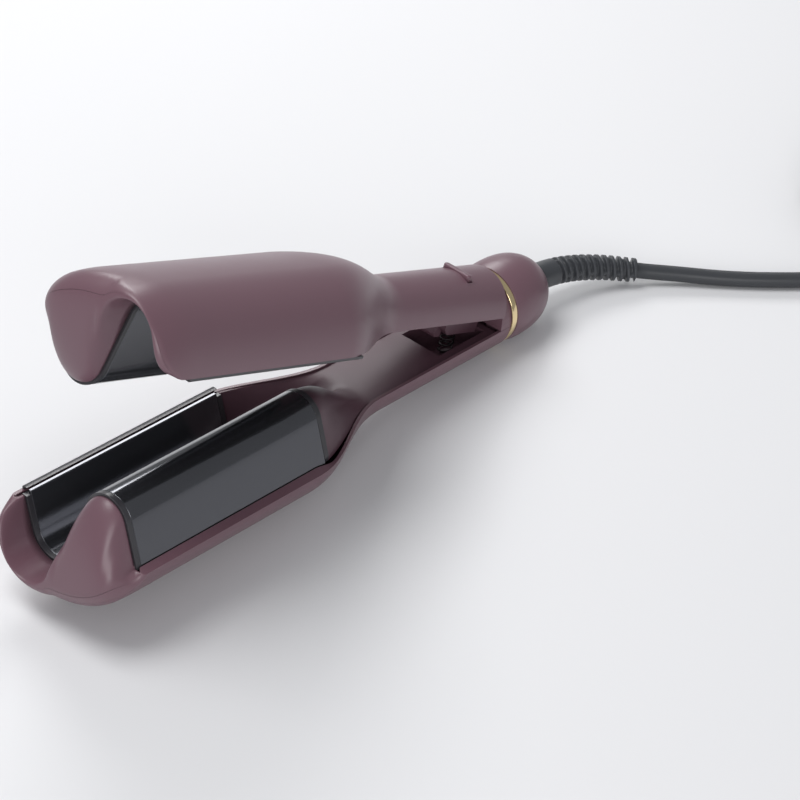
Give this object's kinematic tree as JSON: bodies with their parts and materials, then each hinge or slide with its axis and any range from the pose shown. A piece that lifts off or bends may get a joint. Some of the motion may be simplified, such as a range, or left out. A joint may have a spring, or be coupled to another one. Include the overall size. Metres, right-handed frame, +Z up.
{
  "type": "hair waver",
  "caption": "Handheld hair waver: two jaws with interlocking wave-shaped heating plates on a sprung hinge, a round handle with a power button, and a cord with a plug.",
  "frame": {"origin": "centre of the base of the resting appliance's bounding box, without its cord", "axes": "+X from the nose towards the cord along the handle, +Y across the jaws, +Z up from the surface it rests on"},
  "size_m": [0.5783, 0.1761, 0.1547],
  "materials": {
    "shell_paint": "soft-touch",
    "ceramic_coat": "gloss",
    "carrier_plastic": "satin",
    "heat_alloy": "satin",
    "heater_ceramic": "matte",
    "sensor_resin": "gloss",
    "spring_steel": "satin",
    "lead_silicone": "satin",
    "bush_plastic": "satin",
    "gold_ring": "polished",
    "button_plastic": "satin",
    "board_green": "satin",
    "cord_rubber": "satin",
    "tie_wire": "matte",
    "pin_brass": "satin"
  },
  "bodies": {
    "lower_arm": {"lower_shell": "shell_paint", "lower_nose_cap": "shell_paint", "lower_inner_cover": "shell_paint", "lower_plate": "ceramic_coat", "lower_plate_carrier": "carrier_plastic", "lower_heat_saddle": "heat_alloy", "lower_heater": "heater_ceramic", "lower_thermistor": "sensor_resin", "lower_heater_clamp": "spring_steel", "lower_clamp_screws": "spring_steel", "lower_heater_leads": "lead_silicone", "spring_well": "carrier_plastic", "opening_spring": "spring_steel", "hinge_housing": "shell_paint", "hinge_pin": "spring_steel", "trim_ring": "gold_ring", "rear_cap": "shell_paint", "terminal_block": "carrier_plastic", "mains_leads": "lead_silicone", "inner_cord": "cord_rubber", "strain_relief": "cord_rubber", "cord": "cord_rubber", "cord_coil": "cord_rubber", "cord_tie": "tie_wire", "plug_body": "cord_rubber", "plug_pins": "pin_brass"},
    "upper_arm": {"upper_shell": "shell_paint", "upper_nose_cap": "shell_paint", "upper_inner_cover": "shell_paint", "upper_plate": "ceramic_coat", "upper_plate_carrier": "carrier_plastic", "upper_heat_saddle": "heat_alloy", "upper_heater": "heater_ceramic", "upper_thermistor": "sensor_resin", "upper_heater_clamp": "spring_steel", "upper_clamp_screws": "spring_steel", "upper_heater_leads": "lead_silicone", "hinge_arm": "shell_paint", "hinge_bush": "bush_plastic", "spring_block": "carrier_plastic", "control_board": "board_green", "button_switch": "carrier_plastic", "board_screws": "spring_steel"},
    "power_button": {"power_button": "button_plastic"}
  },
  "joints": [
    {"name": "arm_hinge", "type": "hinge", "parent": "lower_arm", "child": "upper_arm", "pos_m": [0.13232, 0, 0.01675], "axis": [0, -1, 0], "range_deg": [0, 18.2], "stiffness_Nm_per_rad": 1.2, "springref_deg": -8.59, "deforming": ["opening_spring"]},
    {"name": "button_press", "type": "slide", "parent": "upper_arm", "child": "power_button", "axis": [-0.3917, 0, -0.9201], "range_m": [0, 0.0008], "stiffness_N_per_m": 600, "springref_m": -0.0006}
  ]
}
